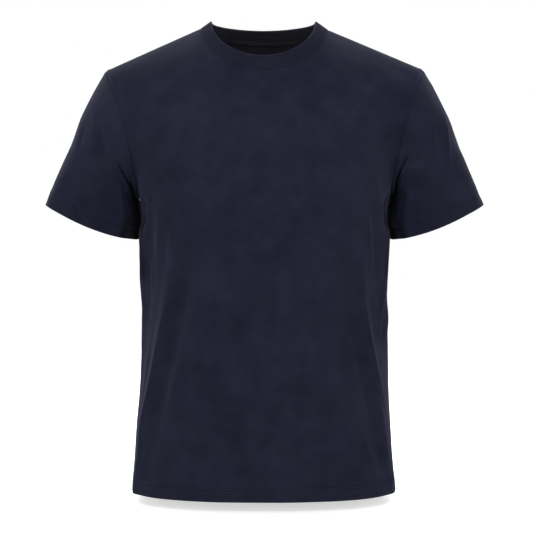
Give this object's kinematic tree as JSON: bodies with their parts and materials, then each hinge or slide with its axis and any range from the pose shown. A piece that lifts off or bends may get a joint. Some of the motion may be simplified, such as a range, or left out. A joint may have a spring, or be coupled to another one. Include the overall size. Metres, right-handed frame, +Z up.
{
  "type": "crew neck t-shirt",
  "caption": "Plain short-sleeved crew neck T-shirt in jersey, filled out as it is worn with nobody in it, hollow and open at the neck, hem and cuffs.",
  "frame": {"origin": "on the middle plane between the two points where the shoulder seams meet the neckband, where the wearer's neck and shoulders carry the shirt", "axes": "+Z up, -Y the way the shirt faces, +X towards the wearer's left"},
  "size_m": [0.6526, 0.246, 0.6881],
  "materials": {
    "navy_jersey": "matt cotton single jersey, dark navy",
    "navy_rib": "matt cotton rib, dark navy",
    "navy_twill_tape": "matt woven tape, dark navy"
  },
  "bodies": {
    "root": {"front": "navy_jersey", "back": "navy_jersey", "sleeve_left": "navy_jersey", "sleeve_right": "navy_jersey", "neckband": "navy_rib", "neck_tape": "navy_twill_tape"}
  },
  "joints": []
}
